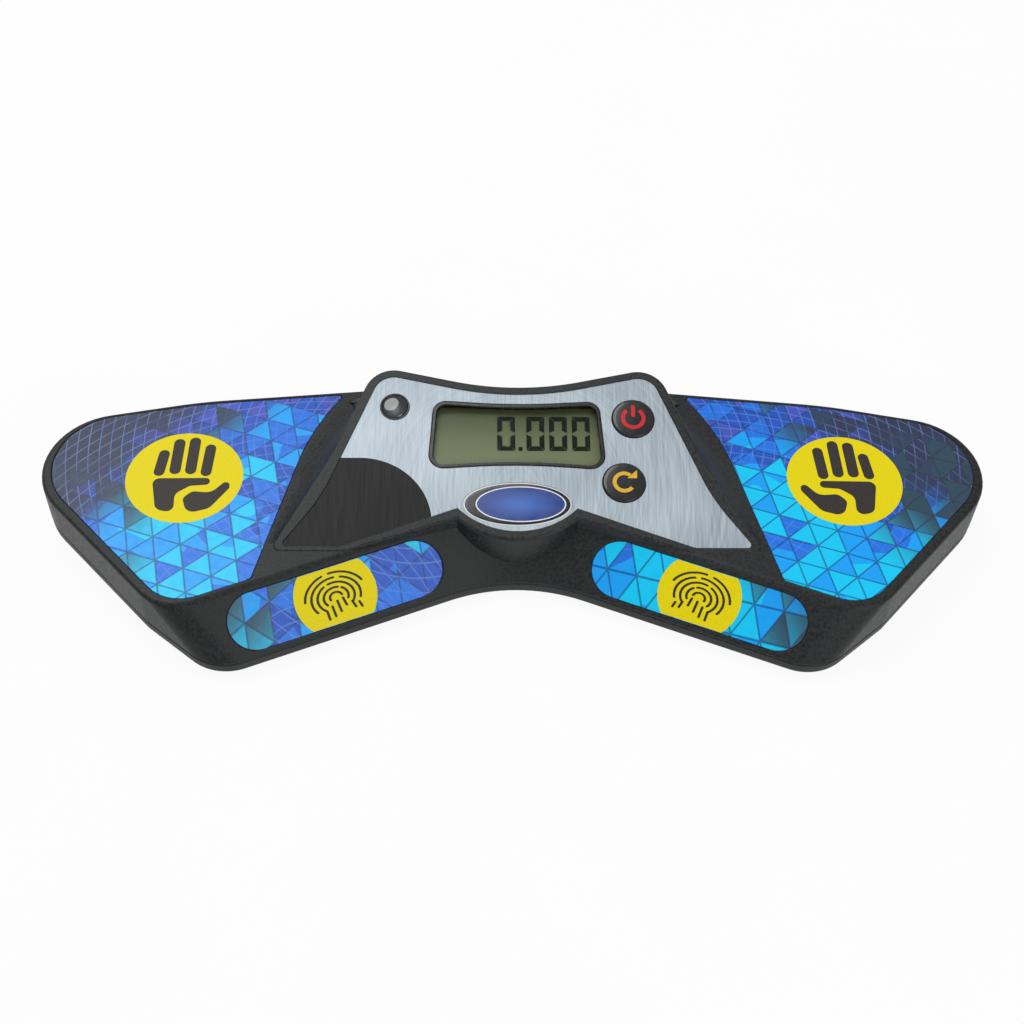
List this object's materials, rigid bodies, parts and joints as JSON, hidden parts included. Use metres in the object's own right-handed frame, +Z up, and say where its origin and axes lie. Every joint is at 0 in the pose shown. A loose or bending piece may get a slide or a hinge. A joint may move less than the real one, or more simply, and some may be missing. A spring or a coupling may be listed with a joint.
{
  "type": "cube_timer",
  "caption": "Speed cube timer: bow-shaped black case with palm and finger touch pads, a raised console with display, power and reset buttons, on rubber feet",
  "frame": {"origin": "bounding box bottom centre, on the table between the feet", "axes": "+X to the right of the user, +Y to the rear edge, +Z up"},
  "size_m": [0.292, 0.097, 0.0349],
  "materials": {
    "black_shell": "fine textured satin",
    "grey_base": "satin",
    "silver_label": "brushed film",
    "blue_badge": "glossy print",
    "gloss_black": "glossy",
    "clear_window": "clear polished",
    "display_glass": "reflective display",
    "dark_plastic": "moulded",
    "elastic_strip": "layered",
    "pale_plastic": "moulded",
    "smoked_lens": "smoked, polished",
    "green_board": "solder resist",
    "steel": "plated",
    "printed_pad": "printed film",
    "copper_foil": "rolled foil",
    "cell_sleeve": "printed sleeve",
    "foot_rubber": "matt"
  },
  "bodies": {
    "case": {"upper_case": "black_shell", "console_shell": "black_shell", "lower_case": "grey_base", "fascia_label": "silver_label", "badge_plate": "blue_badge", "lcd_bezel": "gloss_black", "lcd_window": "clear_window", "lcd_panel": "display_glass", "lcd_holder": "dark_plastic", "lcd_connector": "elastic_strip", "power_switch": "dark_plastic", "reset_switch": "dark_plastic", "status_lens": "smoked_lens", "status_led": "pale_plastic", "main_board": "green_board", "controller_chip": "dark_plastic", "board_screws": "steel", "left_palm_pad": "printed_pad", "right_palm_pad": "printed_pad", "left_finger_pad": "printed_pad", "right_finger_pad": "printed_pad", "left_palm_sensor": "copper_foil", "right_palm_sensor": "copper_foil", "left_finger_sensor": "copper_foil", "right_finger_sensor": "copper_foil", "data_jack": "dark_plastic", "battery_front": "cell_sleeve", "battery_rear": "cell_sleeve", "battery_springs": "steel", "battery_plates": "steel", "case_screws": "steel", "rubber_feet": "foot_rubber"},
    "power_key": {"power_button": "gloss_black", "power_plunger": "pale_plastic"},
    "reset_key": {"reset_button": "gloss_black", "reset_plunger": "pale_plastic"},
    "door": {"battery_door": "grey_base"}
  },
  "joints": [
    {"name": "power_press", "type": "slide", "parent": "case", "child": "power_key", "axis": [0, 0.2453, -0.9694], "range_m": [0, 0.0005], "stiffness_N_per_m": 1000, "springref_m": -0.0003},
    {"name": "reset_press", "type": "slide", "parent": "case", "child": "reset_key", "axis": [0, 0.2453, -0.9694], "range_m": [0, 0.0005], "stiffness_N_per_m": 1000, "springref_m": -0.0003},
    {"name": "door_hinge", "type": "hinge", "parent": "case", "child": "door", "pos_m": [0, 0.0077, 0.00185], "axis": [-1, 0, 0], "range_deg": [0, 80]}
  ]
}
